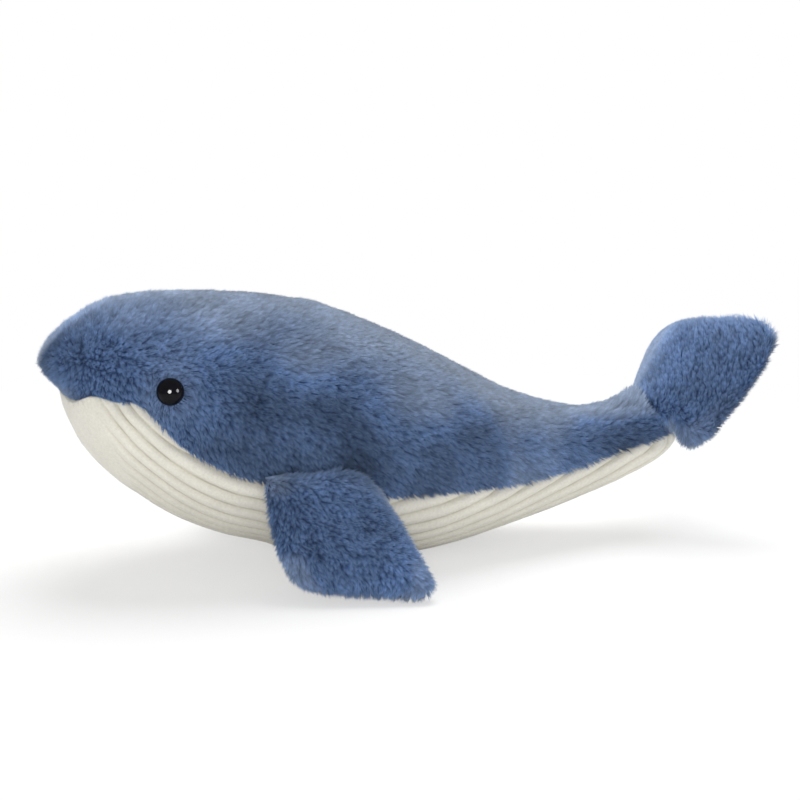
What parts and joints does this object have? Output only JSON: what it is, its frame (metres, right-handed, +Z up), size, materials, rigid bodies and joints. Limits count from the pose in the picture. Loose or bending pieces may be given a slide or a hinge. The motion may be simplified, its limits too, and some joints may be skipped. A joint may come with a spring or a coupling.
{
  "type": "plush whale",
  "caption": "Blue plush whale with a ribbed cream belly, black eyes, two sewn flippers and a raised tail fluke that flexes at its root seam.",
  "frame": {"origin": "middle of the flat resting face under the belly, on the middle plane of the whale", "axes": "-X towards the snout, +X towards the tail, -Y to the whale's left, +Z up"},
  "size_m": [0.4876, 0.2626, 0.1833],
  "materials": {
    "blue_fur": "matte",
    "cream_rib_cloth": "matte",
    "white_fibre": "matte",
    "undyed_cotton": "matte",
    "black_eye_plastic": "gloss",
    "white_nylon": "satin",
    "pellets": "satin"
  },
  "bodies": {
    "body": {"left_side_panel": "blue_fur", "right_side_panel": "blue_fur", "belly_panel": "cream_rib_cloth", "body_stuffing": "white_fibre", "bean_pouch": "undyed_cotton", "pellet_fill": "pellets", "closing_seam_thread": "undyed_cotton", "left_eye": "black_eye_plastic", "right_eye": "black_eye_plastic", "left_eye_washer": "white_nylon", "right_eye_washer": "white_nylon"},
    "left_flipper": {"left_flipper_top_panel": "blue_fur", "left_flipper_under_panel": "blue_fur", "left_flipper_stuffing": "white_fibre"},
    "right_flipper": {"right_flipper_top_panel": "blue_fur", "right_flipper_under_panel": "blue_fur", "right_flipper_stuffing": "white_fibre"},
    "fluke": {"fluke_top_panel": "blue_fur", "fluke_under_panel": "blue_fur", "fluke_stuffing": "white_fibre"}
  },
  "joints": [
    {"name": "left_flipper_flap", "type": "hinge", "parent": "body", "child": "left_flipper", "pos_m": [-0.03422, -0.0816, 0.06128], "axis": [-0.9836, -0.0266, 0.1786], "range_deg": [-2, 60], "stiffness_Nm_per_rad": 0.25},
    {"name": "right_flipper_flap", "type": "hinge", "parent": "body", "child": "right_flipper", "pos_m": [-0.03422, 0.0816, 0.06128], "axis": [0.9836, -0.0266, -0.1786], "range_deg": [-2, 60], "stiffness_Nm_per_rad": 0.25},
    {"name": "fluke_flex", "type": "hinge", "parent": "body", "child": "fluke", "pos_m": [0.21715, 0, 0.08073], "axis": [0, 1, 0], "range_deg": [-20, 20], "stiffness_Nm_per_rad": 0.4}
  ]
}
